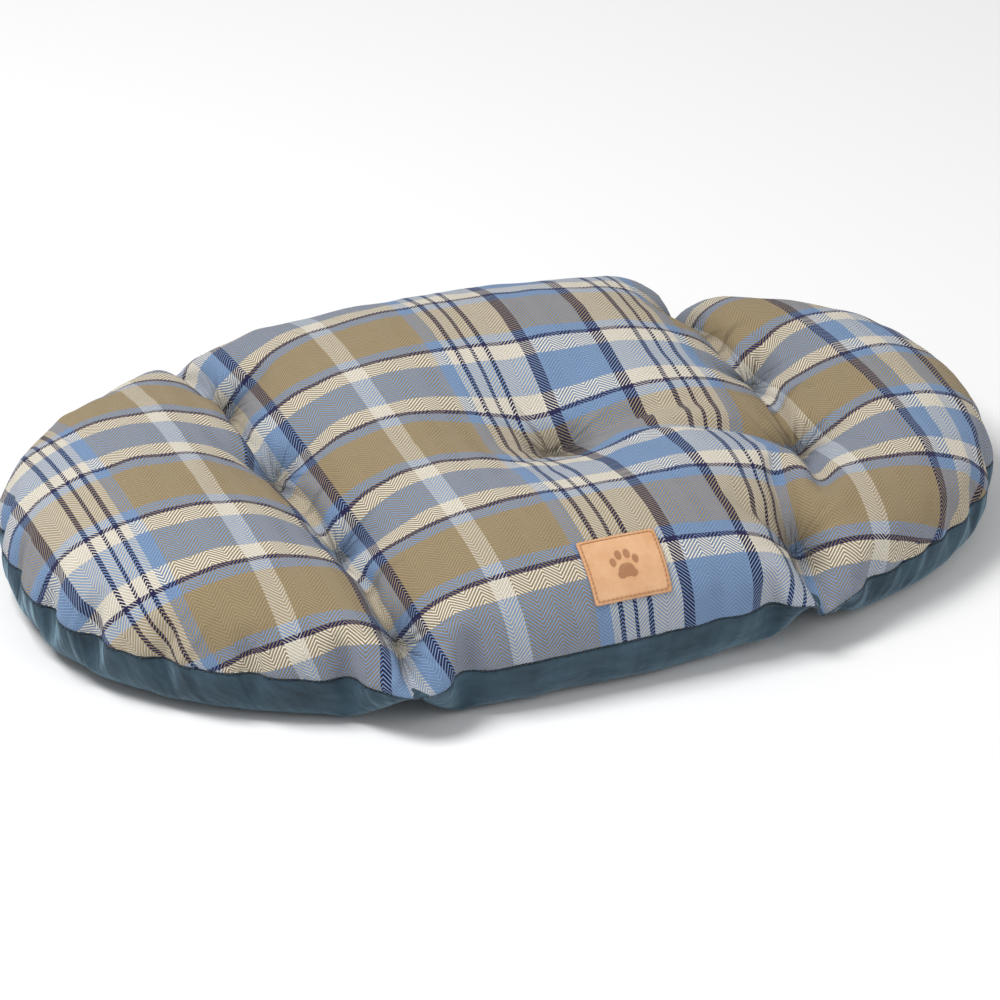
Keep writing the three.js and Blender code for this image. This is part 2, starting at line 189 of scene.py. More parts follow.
class Cushion:
    """Two panels with a common rim. A panel vertex i is places[i] on top and places[low[i]] below."""

    def __init__(self, spacing):
        flat, triangles, rim = flat_panel(spacing)
        rise = START_RISE * (1 - np.clip(outline_share(flat), 0, 1) ** 2)
        top = np.column_stack([flat, START_HEIGHT + rise])
        bottom = np.column_stack([flat, START_HEIGHT - rise])
        self.spacing = spacing
        self.take(flat, triangles, rim, top, bottom)

    def take(self, flat, triangles, rim, top, bottom):
        self.flat, self.triangles, self.rim = flat, triangles, rim
        index = np.arange(len(flat))
        self.low = np.where(index < rim, index, index + len(flat) - rim)
        self.places = np.zeros((2 * len(flat) - rim, 3))
        self.places[self.low] = bottom
        self.places[: len(flat)] = top

    def refine(self):
        """Splits every triangle in four."""
        corners = self.triangles
        sides = triangle_sides(corners)
        edges, inverse, uses = np.unique(
            np.sort(sides, 1), axis=0, return_inverse=True, return_counts=True
        )
        middle = (len(self.flat) + inverse.ravel()).reshape(3, -1)
        a, b, c = corners.T
        ab, bc, ca = middle
        quarters = [(a, ab, ca), (ab, b, bc), (ca, bc, c), (ab, bc, ca)]
        triangles = np.concatenate([np.stack(q, 1) for q in quarters])
        flat, top, bottom = (
            np.concatenate([layer, layer[edges].mean(1)])
            for layer in (self.flat, self.places[: len(self.flat)], self.places[self.low])
        )
        on_rim = np.concatenate([np.arange(len(self.flat)) < self.rim, uses == 1])
        flat[on_rim] /= outline_share(flat[on_rim])[:, None]
        angle = np.arctan2(*(flat / FLAT_HALF).T[::-1])
        rim = np.nonzero(on_rim)[0]
        order = np.concatenate([rim[np.argsort(angle[rim])], np.nonzero(~on_rim)[0]])
        rank = np.empty(len(order), int)
        rank[order] = np.arange(len(order))
        self.spacing /= 2
        self.take(flat[order], rank[triangles], len(rim), top[order], bottom[order])

    def springs(self):
        """Pairs of vertices with the length each pair keeps and how easily it gives."""
        corners = self.triangles
        sides = triangle_sides(corners)
        facing = np.concatenate([corners[:, 2], corners[:, 0], corners[:, 1]])
        edges, inverse, uses = np.unique(
            np.sort(sides, 1), axis=0, return_inverse=True, return_counts=True
        )
        order = np.argsort(inverse.ravel(), kind="stable")
        edge_of = inverse.ravel()[order]
        twins = np.nonzero(edge_of[1:] == edge_of[:-1])[0]
        bends = np.stack([facing[order[twins]], facing[order[twins + 1]]], 1)
        seam = uses == 1
        tufts = [np.argmin(np.hypot(*(self.flat - tuft).T)) for tuft in to_flat(TUFTS)]
        ties = np.stack([tufts, self.low[tufts]], 1)

        def length(pairs):
            return np.hypot(*(self.flat[pairs[:, 0]] - self.flat[pairs[:, 1]]).T)

        groups = [
            (edges, length(edges) * np.where(seam, SEAM_GATHER, 1), STRETCH_GIVE),
            (self.low[edges[~seam]], length(edges[~seam]) * LOW_SIZE, STRETCH_GIVE),
            (bends, length(bends), BEND_GIVE),
            (self.low[bends], length(bends) * LOW_SIZE, BEND_GIVE),
            (ties, np.full(len(ties), TUFT_THICKNESS), 0.0),
        ]
        return (
            np.concatenate([pairs for pairs, _, _ in groups]),
            np.concatenate([rest for _, rest, _ in groups]),
            np.concatenate([np.full(len(pairs), give) for pairs, _, give in groups]),
        )

    def settle(self, steps, rng):
        """Fills the cushion and lets it come to rest on the floor."""
        pairs, rest, give = self.springs()
        batches = [
            (pairs[b, 0], pairs[b, 1], rest[b], 2 + give[b])
            for b in matchings(pairs, len(self.places), rng)
        ]
        places = self.places
        speed = np.zeros_like(places)
        top = slice(0, len(self.flat))
        faces = np.concatenate([self.triangles, self.low[self.triangles][:, ::-1]])
        corner_area = 6 * self.spacing**2 * math.sqrt(3) / 2
        # A finer mesh takes smaller steps, so that its springs give no more than the coarse one's.
        ease = (self.spacing / COARSE_SPACING) ** 2
        for _ in range(steps):
            a, b, c = (places[faces[:, k]] for k in range(3))
            normals = np.repeat(np.cross(b - a, c - a) / corner_area, 3, axis=0)
            outward = np.stack(
                [np.bincount(faces.ravel(), normals[:, k], len(places)) for k in range(3)], 1
            )
            thickness = np.maximum(places[top, 2] - places[self.low, 2], LEAST_THICKNESS)
            push = np.zeros(len(places))
            push[self.low] = np.clip(FULL_THICKNESS / thickness - 1, 0, MOST_PUSH)
            push[self.low] *= np.minimum(thickness / THIN, 1)
            push[top] = push[self.low]
            speed += ease * PUSH * push[:, None] * outward
            speed[:, 2] -= ease * WEIGHT
            speed *= KEPT_SPEED
            before = places.copy()
            places += speed
            for i, j, wanted, stiff in batches:
                apart = places[i] - places[j]
                now = np.sqrt(np.einsum("ij,ij->i", apart, apart)) + 1e-9
                move = ((now - wanted) / (now * stiff))[:, None] * apart
                places[i] -= move
                places[j] += move
            np.maximum(places[:, 2], 0, out=places[:, 2])
            speed = places - before

    def stand(self):
        """Brings the cushion to its finished length, centred over the origin on the floor."""
        low, high = self.places.min(0), self.places.max(0)
        centre = (low + high) / 2
        self.scale = LENGTH / (high[0] - low[0])
        self.places -= [centre[0], centre[1], low[2]]
        self.places *= self.scale

    def over(self, points):
        """Place on the top panel, and the way out of it, over points of the flat panel."""
        a, b, c = (self.flat[self.triangles[:, k]] for k in range(3))
        normals = vertex_normals(self.places[: len(self.flat)], self.triangles)
        area = np.cross(b - a, c - a)
        places, ways = [], []
        for point in points:
            weights = np.stack(
                [np.cross(c - b, point - b), np.cross(a - c, point - c), np.cross(b - a, point - a)]
            ) / area
            face = np.argmax(weights.min(0))
            share = weights[:, face]
            corners = self.triangles[face]
            places.append(share @ self.places[corners])
            ways.append(share @ normals[corners])
        ways = np.array(ways)
        return np.array(places), ways / np.linalg.norm(ways, axis=1, keepdims=True)


def vertex_normals(places, triangles):
    a, b, c = (places[triangles[:, k]] for k in range(3))
    normals = np.repeat(np.cross(b - a, c - a), 3, axis=0)
    total = np.stack([np.bincount(triangles.ravel(), normals[:, k], len(places)) for k in range(3)], 1)
    return total / np.maximum(np.linalg.norm(total, axis=1, keepdims=True), 1e-12)


cushion = Cushion(COARSE_SPACING)
rng = np.random.default_rng(SEED)
cushion.settle(COARSE_STEPS, rng)
cushion.refine()
cushion.settle(FINE_STEPS, rng)
cushion.stand()

# ------------------------------------------------------------------ node helpers


class Shader:
    """A material whose nodes are made by short calls. A value may be a socket, a number or a colour."""

    def __init__(self, name, **settings):
        self.material = bpy.data.materials.new(name)
        self.material.use_nodes = True
        self.tree = self.material.node_tree
        self.surface = self.tree.nodes["Principled BSDF"]
        for socket, value in settings.items():
            self.surface.inputs[socket.replace("_", " ")].default_value = value

    def link(self, value, socket):
        if isinstance(value, bpy.types.NodeSocket):
            self.tree.links.new(value, socket)
        else:
            socket.default_value = value

    def node(self, kind, *values, **settings):
        node = self.tree.nodes.new(kind)
        for key, value in settings.items():
            if key in node.inputs:
                self.link(value, node.inputs[key])
            else:
                setattr(node, key, value)
        for value, socket in zip(values, node.inputs):
            self.link(value, socket)
        return node

    def math(self, operation, *values):
        return self.node("ShaderNodeMath", *values, operation=operation).outputs[0]

    def attribute(self, name):
        return self.node("ShaderNodeAttribute", attribute_name=name)

    def noise(self, vector, scale, detail=2.0, roughness=0.5):
        node = self.node("ShaderNodeTexNoise", Scale=scale, Detail=detail, Roughness=roughness)
        self.link(vector, node.inputs["Vector"])
        return node.outputs[0]

    def stretched(self, vector, scale):
        node = self.node("ShaderNodeMapping")
        self.link(vector, node.inputs["Vector"])
        node.inputs["Scale"].default_value = scale
        return node.outputs[0]

    def span(self, value, low, high, to_low=0.0, to_high=1.0):
        node = self.node("ShaderNodeMapRange", value, low, high, to_low, to_high)
        return node.outputs[0]

    def mix(self, share, first, second, blend="MIX"):
        node = self.tree.nodes.new("ShaderNodeMix")
        node.data_type = "RGBA"
        node.blend_type = blend
        for value, socket in zip((share, first, second), (node.inputs[0], node.inputs[6], node.inputs[7])):
            self.link(value, socket)
        return node.outputs[2]

    def bands(self, value, stops):
        """A colour for each band of value, as (end of the band, colour) with the ends from 0 to 1."""
        node = self.tree.nodes.new("ShaderNodeValToRGB")
        ramp = node.color_ramp
        ramp.interpolation = "CONSTANT"
        ramp.elements.remove(ramp.elements[1])
        start = 0.0
        for i, (end, colour) in enumerate(stops):
            element = ramp.elements[0] if i == 0 else ramp.elements.new(start)
            element.position = start
            element.color = colour
            start = end
        self.link(value, node.inputs[0])
        return node.outputs[0]

    def bump(self, height, distance, strength=1.0, normal=None):
        node = self.node("ShaderNodeBump", Strength=strength, Distance=distance, Height=height)
        if normal is not None:
            self.link(normal, node.inputs["Normal"])
        return node.outputs[0]

    def finish(self, **sockets):
        for socket, value in sockets.items():
            self.link(value, self.surface.inputs[socket.replace("_", " ")])
        return self.material


def srgb(red, green, blue):
    """A colour from its screen values, 0 to 255."""
    return tuple(
        (c / 255 / 12.92 if c <= 10 else ((c / 255 + 0.055) / 1.055) ** 2.4) for c in (red, green, blue)
    ) + (1.0,)


# ------------------------------------------------------------------ materials

TAUPE = srgb(168, 148, 112)
BLUE = srgb(128, 158, 198)
CREAM = srgb(238, 230, 213)
NAVY = srgb(20, 16, 76)

CHECK_HALF = 223.8  # from the middle of one kind of lengthways stripe to the middle of the other
CHECK_START = -160.0
WARP_BANDS = [
    (7.0, CREAM),
    (20.5, BLUE),
    (27.5, NAVY),
    (74.5, TAUPE),
    (88.0, CREAM),
    (135.0, TAUPE),
    (145.0, BLUE),
    (150.0, CREAM),
    (153.3, NAVY),
    (160.0, CREAM),
    (163.3, NAVY),
    (170.0, CREAM),
    (173.3, NAVY),
    (194.3, CREAM),
    (202.3, NAVY),
    (CHECK_HALF, BLUE),
]
WEFT_HALF = 60.0
WEFT_START = 158.0
WEFT_END = -142.0  # the last blue stripe goes on to the front edge
WEFT_BANDS = [(20.0, TAUPE), (28.2, BLUE), (31.8, NAVY), (45.0, CREAM), (WEFT_HALF, BLUE)]
CHEVRON = 10.5  # width of a herringbone column
CHEVRON_START = 173.3
TWILL = 2.6  # from one diagonal rib to the next
YARN = 0.65
GATHER_HEIGHT = 0.022  # in metres, before it is scaled by the noise and by the fading
NAVY_LIMITS = (0.12, 0.03)  # a yarn this bright is not navy, and one this dark is
NAVY_COVER = 0.2  # the navy yarns are thicker, and cover this much more of the cloth


def gathers(s):
    """Relief of the small creases that run out from each tuft and in from the seam, and fade."""
    heights = []
    for name in ("tuft_gather", "seam_gather"):
        place = s.attribute(name).outputs["Vector"]
        amount = s.node("ShaderNodeSeparateXYZ", place).outputs[2]
        waves = s.noise(s.stretched(place, (1, 1, 0)), 1.0, 2)
        creases = s.math("ABSOLUTE", s.math("SUBTRACT", waves, 0.5))
        heights.append(s.math("MULTIPLY", creases, amount))
    return s.bump(s.math("ADD", *heights), GATHER_HEIGHT)


def striped(s, place, half, bands):
    """The colours of one set of yarns at a place between 0 and half."""
    return s.bands(s.math("DIVIDE", place, half), [(end / half, colour) for end, colour in bands])


def woven_check():
    """Herringbone twill: each point shows its warp or its weft yarn."""
    s = Shader("woven_check", Roughness=0.9, Sheen_Weight=0.08, Sheen_Roughness=0.5)
    cloth = s.attribute("cloth").outputs["Vector"]
    split = s.node("ShaderNodeSeparateXYZ", cloth)
    u, v = split.outputs[0], split.outputs[1]
    along = s.math("PINGPONG", s.math("SUBTRACT", u, CHECK_START), CHECK_HALF)
    from_back = s.math("SUBTRACT", s.math("MAXIMUM", v, WEFT_END), WEFT_START)
    across = s.math("PINGPONG", from_back, WEFT_HALF)
    warp = striped(s, along, CHECK_HALF, WARP_BANDS)
    weft = striped(s, across, WEFT_HALF, WEFT_BANDS)

    zigzag = s.math("PINGPONG", s.math("SUBTRACT", along, CHEVRON_START), CHEVRON)
    turn = s.math("FRACT", s.math("DIVIDE", s.math("ADD", zigzag, v), TWILL))
    dark_warp, dark_weft = (s.span(yarn, *NAVY_LIMITS) for yarn in (warp, weft))
    cover = s.math("MULTIPLY", s.math("SUBTRACT", dark_warp, dark_weft), NAVY_COVER)
    shows_weft = s.math("GREATER_THAN", turn, s.math("ADD", cover, 0.5))

    warp_tone = s.noise(s.stretched(cloth, (1.5, 0.05, 1)), 1.0, 3)
    weft_tone = s.noise(s.stretched(cloth, (0.05, 1.5, 1)), 1.0, 3)
    fuzz = s.noise(cloth, 2.4, 4, 0.7)
    tones = [
        s.span(warp_tone, 0.25, 0.75, 0.7, 0.86),
        s.span(weft_tone, 0.25, 0.75, 0.98, 1.16),
    ]
    warp, weft = (s.mix(1.0, yarn, tone, "MULTIPLY") for yarn, tone in zip((warp, weft), tones))
    colour = s.mix(shows_weft, warp, weft)

    rib = s.math("SINE", s.math("MULTIPLY", turn, 2 * math.pi))
    rib_height = s.math("ABSOLUTE", rib)
    # Painted shade: the colour is darkened in the valleys between the twill's diagonal ribs.
    valley_shade = s.span(rib_height, 0.0, 0.5, 0.42, 1.0)
    colour = s.mix(1.0, colour, valley_shade, "MULTIPLY")
    colour = s.mix(1.0, colour, s.span(fuzz, 0.3, 0.7, 0.8, 1.2), "MULTIPLY")
    # Painted shade: the cloth is darkened near each tuft, where the deep dimple's crease lies in shadow.
    tuft_way = s.attribute("tuft_gather").outputs["Vector"]
    painted_tuft_shade = s.node("ShaderNodeSeparateXYZ", tuft_way).outputs[2]
    colour = s.mix(1.0, colour, s.span(painted_tuft_shade, 0.5, 1.0, 1.0, 0.5), "MULTIPLY")

    yarn_waves = [
        s.math("ABSOLUTE", s.math("SINE", s.math("MULTIPLY", axis, math.pi / YARN))) for axis in (u, v)
    ]
    yarn_height = s.node("ShaderNodeMix", shows_weft)
    s.link(yarn_waves[0], yarn_height.inputs[2])
    s.link(yarn_waves[1], yarn_height.inputs[3])
    height = s.math("ADD", s.math("MULTIPLY", yarn_height.outputs[0], 0.25), rib_height)
    height = s.math("ADD", height, s.math("MULTIPLY", fuzz, 0.5))
    return s.finish(Base_Color=colour, Normal=s.bump(height, 0.0004, 0.8, gathers(s)))


def velvet():
    """Short pile: painted sheen lightens it where it leans away, in soft patches."""
    s = Shader("velvet", Roughness=0.75, Sheen_Weight=0.7, Sheen_Roughness=0.35)
    s.surface.inputs["Sheen Tint"].default_value = srgb(170, 205, 225)
    cloth = s.attribute("cloth").outputs["Vector"]
    patches = s.noise(cloth, 0.02, 4, 0.6)
    streaks = s.noise(s.stretched(cloth, (0.05, 0.18, 1)), 1.0, 3, 0.6)
    pile = s.noise(cloth, 3.5, 2, 0.6)
    pile_sheen_and_relief = s.math("ADD", s.math("MULTIPLY", patches, 0.6), s.math("MULTIPLY", streaks, 0.4))
    # Painted sheen: the pile goes from dark to light teal in these patches and streaks, and the same
    # pattern also gives a soft bump.
    colour = s.mix(s.span(pile_sheen_and_relief, 0.35, 0.65), srgb(28, 48, 61), srgb(56, 84, 100))
    colour = s.mix(1.0, colour, s.span(pile, 0.3, 0.7, 0.85, 1.15), "MULTIPLY")
    normal = s.bump(pile, 0.0003, 0.5, gathers(s))
    normal = s.bump(pile_sheen_and_relief, 0.004, 0.5, normal)
    return s.finish(Base_Color=colour, Normal=normal)


def fibre():
    s = Shader("polyester_fibre", Roughness=1.0, Sheen_Weight=0.2)
    place = s.node("ShaderNodeTexCoord").outputs["Object"]
    strands = s.noise(place, 120, 6, 0.7)
    colour = s.mix(strands, srgb(225, 224, 218), srgb(250, 250, 247))
    return s.finish(Base_Color=colour, Normal=s.bump(strands, 0.004, 0.8))


def yarn(name, dark, light):
    """Twisted thread: the plies run slantwise round it."""
    s = Shader(name, Roughness=0.7, Sheen_Weight=0.2)
    place = s.node("ShaderNodeTexCoord").outputs["Object"]
    plies = s.node("ShaderNodeTexWave", Scale=900.0, Distortion=2.0, bands_direction="DIAGONAL")
    s.link(place, plies.inputs["Vector"])
    ply = plies.outputs[0]
    return s.finish(Base_Color=s.mix(ply, dark, light), Normal=s.bump(ply, 0.0002, 0.7))


def leather():
    """Smooth tan leather: fine grain, soft colour clouds, darker where it is pressed or cut."""
    s = Shader("tan_leather", Roughness=0.5)
    place = s.node("ShaderNodeTexCoord").outputs["Object"]
    clouds = s.noise(place, 60, 4, 0.6)
    grain = s.node("ShaderNodeTexVoronoi", Scale=1900.0, feature="DISTANCE_TO_EDGE")
    s.link(place, grain.inputs["Vector"])
    pores = s.noise(place, 2600, 3, 0.6)
    colour = s.mix(s.span(clouds, 0.3, 0.7), srgb(214, 160, 112), srgb(232, 184, 142))
    pressed = s.attribute("pressed").outputs["Fac"]
    colour = s.mix(s.math("MULTIPLY", pressed, 0.75), colour, srgb(140, 86, 48))
    height = s.math("ADD", s.span(grain.outputs[0], 0.0, 0.12), s.math("MULTIPLY", pores, 0.5))
    roughness = s.span(pores, 0.3, 0.7, 0.42, 0.58)
    return s.finish(Base_Color=colour, Roughness=roughness, Normal=s.bump(height, 0.00008, 0.6))


# ------------------------------------------------------------------ meshes


def add_mesh(name, places, faces, material, node):
    """A smooth mesh from places in millimetres, which rides on the object and stands for node."""
    mesh = bpy.data.meshes.new(name)
    mesh.from_pydata((np.asarray(places) / 1000).tolist(), [], [list(map(int, f)) for f in faces])
    mesh.polygons.foreach_set("use_smooth", [True] * len(mesh.polygons))
    mesh.materials.append(material)
    piece = bpy.data.objects.new(name, mesh)
    bpy.context.scene.collection.objects.link(piece)
    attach(piece, "root")
    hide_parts(node)
    return piece


def smoothed(piece):
    """Gives a piece one level of subdivision."""
    smooth = piece.modifiers.new("smooth", "SUBSURF")
    smooth.levels = smooth.render_levels = 1


def add_vectors(piece, name, values):
    """Gives each vertex a vector that the material reads by its name."""
    vectors = piece.data.attributes.new(name, "FLOAT_VECTOR", "POINT")
    vectors.data.foreach_set("vector", values.ravel())


def unit(vectors):
    return vectors / np.maximum(np.linalg.norm(vectors, axis=-1, keepdims=True), 1e-12)


def tube(path, radius, sides, closed):
    """Vertices and faces of a round tube along a path of points."""
    path = np.asarray(path, float)
    forward = unit(np.roll(path, -1, 0) - np.roll(path, 1, 0))
    if not closed:
        forward[0] = unit(path[1] - path[0])
        forward[-1] = unit(path[-1] - path[-2])
    side = unit(np.cross(forward, np.where(np.abs(forward[:, 2:]) < 0.8, [[0, 0, 1]], [[1, 0.2, 0]])))
    lift = np.cross(side, forward)
    angles = np.arange(sides) * 2 * math.pi / sides
    ring = side[:, None] * np.cos(angles)[:, None] + lift[:, None] * np.sin(angles)[:, None]
    vertices = (path[:, None] + radius * ring).reshape(-1, 3)
    count = len(path)
    faces = []
    for i in range(count if closed else count - 1):
        j = (i + 1) % count
        for k in range(sides):
            m = (k + 1) % sides
            faces.append([i * sides + k, i * sides + m, j * sides + m, j * sides + k])
    if not closed:
        faces.append(list(range(sides))[::-1])
        faces.append([(count - 1) * sides + k for k in range(sides)])
    return vertices, faces


def joined(parts):
    """One set of vertices and faces from several."""
    vertices, faces = [], []
    for part_vertices, part_faces in parts:
        start = sum(len(v) for v in vertices)
        faces += [[start + i for i in face] for face in part_faces]
        vertices.append(part_vertices)
    return np.concatenate(vertices), faces


# ------------------------------------------------------------------ covers and filling

SEAM_GAP = 0.3
LUMP_WIDTH = 19.0  # the filling's lumps show a little through the cloth
LUMP_HEIGHT = 1.5
FILLING_LUMP_WIDTH = 25.0
FILLING_LUMP_SHARE = 0.5  # the most that a lump adds to the filling's inset, as a share of it
TUFT_GATHERS = 1.7  # more makes more creases round each tuft
TUFT_GATHER_REACH = 36.0
RIDGE_WAVES = 0.7
RIDGE_HEIGHT = 9.0  # before it is scaled by the noise and by the fading
SEAM_GATHERS = 11.0
SEAM_GATHER_REACH = 0.09  # as a share of the way from the seam to the middle
SEAM_GATHER_DEPTH = 0.6


def tuft_gathers(flat):
    """Which way each vertex lies from its tuft, as two numbers, and how deep the creases are, which also
    sets the painted shade on the check cloth near its tuft.
    """
    offsets = flat[:, None] - to_flat(TUFTS)[None]
    nearest = np.hypot(*offsets.transpose(2, 0, 1)).argmin(1)
    offset = offsets[np.arange(len(flat)), nearest]
    amount = np.exp(-((np.hypot(*offset.T) / TUFT_GATHER_REACH) ** 2))
    return np.column_stack([TUFT_GATHERS * unit(offset) + nearest[:, None], amount])


def seam_gathers(flat):
    """How far round the outline each vertex lies, as two numbers, and how deep the creases are."""
    amount = np.exp(-(((1 - outline_share(flat)) / SEAM_GATHER_REACH) ** 2))
    return np.column_stack([SEAM_GATHERS * unit(flat / FLAT_HALF), SEAM_GATHER_DEPTH * amount])


def ridges(flat):
    """How far the cloth stands out between the creases round the tufts, in millimetres."""
    gathered = tuft_gathers(flat)
    waves = [abs(noise.noise(Vector((x, y, 0)) * RIDGE_WAVES)) for x, y, _ in gathered.tolist()]
    return RIDGE_HEIGHT * np.array(waves) * gathered[:, 2]


def panel(name, places, triangles, seam_side, material, node):
    """One cloth panel, with its thickness turned inwards and one level of smoothing."""
    lumps = [noise.noise(Vector(p) / LUMP_WIDTH) for p in places.tolist()]
    relief = LUMP_HEIGHT * np.array(lumps) + ridges(cushion.flat)
    places = places + vertex_normals(places, triangles) * relief[:, None]
    places[:, 2] = np.maximum(places[:, 2], 0)
    places[: cushion.rim] = cushion.places[: cushion.rim]
    places[: cushion.rim, 2] += seam_side * SEAM_GAP
    piece = add_mesh(name, places, triangles, material, node)
    pattern = to_pattern(cushion.flat)
    add_vectors(piece, "cloth", np.column_stack([pattern, np.zeros(len(pattern))]))
    add_vectors(piece, "tuft_gather", tuft_gathers(cushion.flat))
    add_vectors(piece, "seam_gather", seam_gathers(cushion.flat))
    solid = piece.modifiers.new("thickness", "SOLIDIFY")
    solid.thickness = CLOTH_THICKNESS / 1000
    solid.offset = -1
    smoothed(piece)
    return piece


def filling():
    """The stuffing: the shape between the panels, a little smaller, with soft lumps."""
    kept = outline_share(cushion.flat) < FILLING_SHARE
    triangles = cushion.triangles[kept[cushion.triangles].all(1)]
    used = np.unique(triangles)
    rank = np.zeros(len(cushion.flat), int)
    rank[used] = np.arange(len(used))
    top, low = cushion.places[used], cushion.places[cushion.low[used]]
    up = vertex_normals(cushion.places[: len(cushion.flat)], cushion.triangles)[used]
    down = vertex_normals(cushion.places[cushion.low], cushion.triangles[:, ::-1])[used]
    lumps = [abs(noise.noise(Vector(p) / FILLING_LUMP_WIDTH)) for p in (top + low).tolist()]
    inset = FILLING_INSET * (1 + FILLING_LUMP_SHARE * np.array(lumps)[:, None])
    middle = (top + low) / 2
    top = top - up * inset + FILLING_DRAW * (middle - top)
    low = low - down * inset + FILLING_DRAW * (middle - low)
    triangles = rank[triangles]
    sides = triangle_sides(triangles)
    _, first, uses = np.unique(np.sort(sides, 1), axis=0, return_index=True, return_counts=True)
    start, end = sides[first[uses == 1]].T
    count = len(used)
    wall = np.stack([start, start + count, end + count, end], 1)
    faces = [*triangles, *(triangles[:, ::-1] + count), *wall]
    places = np.concatenate([top, low])
    piece = add_mesh("filling", places, faces, fibre(), "fibre_filling")
    smoothed(piece)


filling()
top_places = cushion.places[: len(cushion.flat)]
low_places = cushion.places[cushion.low]
panel("check_panel", top_places, cushion.triangles, 1, woven_check(), "top_cover")
panel("velvet_panel", low_places, cushion.triangles[:, ::-1], -1, velvet(), "bottom_cover")

# ------------------------------------------------------------------ seam thread and tufts

SEAM_STITCH = 3.6  # from one stitch to the next
SEAM_STEP = 0.45  # between the points of the thread's path
SEAM_THREAD = 0.4  # the thread's radius
SEAM_HIDDEN = 1.5  # how deep between the panels the thread runs
SEAM_SHOWN = 1.1  # how far out of that depth it comes at a stitch
FORWARD_STEPS = 6  # path points on each side that the seam's direction is taken over
TUFT_YARN = 0.8  # the yarn's radius
TUFT_LOOPS = (-1.5, 0.0, 1.5)
TUFT_REACH = 3.2  # half the width of a loop
TUFT_CORNER = 1.2  # size of a loop's corners, and its height over the cloth
TUFT_WAIST = 0.4  # share of its width that a loop keeps inside the cushion
TUFT_TOP_RISE = 0.5
TUFT_LOW_RISE = 0.3


def seam_thread():
    """The closing seam's thread: it comes out between the panels at each stitch and goes in again."""
    rim = cushion.places[: cushion.rim]
    run = np.concatenate([[0], np.cumsum(np.linalg.norm(np.roll(rim, -1, 0) - rim, axis=1))])
    stitches = round(run[-1] / SEAM_STITCH)
    places = np.linspace(0, run[-1], round(run[-1] / SEAM_STEP), endpoint=False)
    loop = np.concatenate([rim, rim[:1]])
    path = np.stack([np.interp(places, run, loop[:, k]) for k in range(3)], 1)
    forward = unit(np.roll(path, -FORWARD_STEPS, 0) - np.roll(path, FORWARD_STEPS, 0))
    outward = unit(np.cross(forward, [0, 0, 1]))
    waves = np.abs(np.sin(math.pi * places / run[-1] * stitches))
    depth = SEAM_SHOWN * waves - SEAM_HIDDEN
    vertices, faces = tube(path + outward * depth[:, None], SEAM_THREAD, 6, True)
    material = yarn("seam_yarn", srgb(28, 44, 56), srgb(52, 76, 92))
    add_mesh("seam_thread", vertices, faces, material, "edge_seam_thread")


def tuft_yarn(number, top, bottom, material):
    """Three loops of yarn that pass through the cushion and lie over the cloth at each end."""
    reach, corner = TUFT_REACH, TUFT_CORNER
    high, low = top[2] + corner, bottom[2] - corner
    waist, middle = reach * TUFT_WAIST, (high + low) / 2
    outline = [
        (-reach + corner, high),
        (0, high + TUFT_TOP_RISE),
        (reach - corner, high),
        (reach, high - corner),
        (waist, middle),
        (reach, low + corner),
        (reach - corner, low),
        (0, low - TUFT_LOW_RISE),
        (-reach + corner, low),
        (-reach, low + corner),
        (-waist, middle),
        (-reach, high - corner),
    ]
    loops = [[(top[0] + x, top[1] + shift, z) for x, z in outline] for shift in TUFT_LOOPS]
    vertices, faces = joined([tube(loop, TUFT_YARN, 8, True) for loop in loops])
    name, node = f"tuft_yarn_{number}", f"tuft_stitch_{number}"
    piece = add_mesh(name, vertices, faces, material, node)
    smoothed(piece)


seam_thread()
TUFT_MATERIAL = yarn("tuft_yarn", srgb(40, 42, 92), srgb(84, 92, 140))
for number, tuft in enumerate(to_flat(TUFTS), 1):
    vertex = np.argmin(np.hypot(*(cushion.flat - tuft).T))
    tuft_yarn(number, cushion.places[vertex], cushion.places[cushion.low[vertex]], TUFT_MATERIAL)

# ------------------------------------------------------------------ leather patch

PAW_TOES = [(-7.4, 2.6, 2.1, 3.0), (-2.8, 6.8, 2.2, 3.3), (2.8, 6.8, 2.2, 3.3), (7.4, 2.6, 2.1, 3.0)]
PAW_PADS = [(0.0, -3.6, 5.4, 4.4), (-3.6, -6.0, 3.0, 2.6), (3.6, -6.0, 3.0, 2.6)]
PAW_DEPTH = 0.4
PAW_EDGE = 0.35  # half the width of the slope at a pad's edge
DENT_DEPTH = 0.5  # the thread pulls the leather in at each stitch hole
DENT_RADIUS = 0.6
EDGE_DROP = 0.35  # the patch's upper edge is worn round
EDGE_WIDTH = 0.9
DARK_EDGE_WIDTH = 1.3
WALL_TOP = 0.55  # the wall starts this far below the patch's upper face
WALL_FOOT = 0.1
OUTLINE_SPACING = 0.6
CORNER_STEPS = 6
STITCH_CORNER = 1.0
RING_SHARES = [*np.linspace(0.015, 0.97, 56), 0.985, 0.995]
STITCH_RADIUS = 0.36
STITCH_SHARES = np.array([0.06, 0.16, 0.5, 0.84, 0.94])  # of the way from one hole to the next
STITCH_HEIGHTS = np.array([-0.35, 0.08, 0.3, 0.08, -0.35])  # over the leather
BED_UNIT = 25.0  # coordinates are divided by this before their powers are taken
BED_SAMPLES = 9
BED_STEP = 0.5


def powers(points):
    """Terms of a cubic in two variables."""
    s, t = np.asarray(points, float).T / BED_UNIT
    return np.stack([s**i * t**j for i in range(4) for j in range(4 - i)], 1)


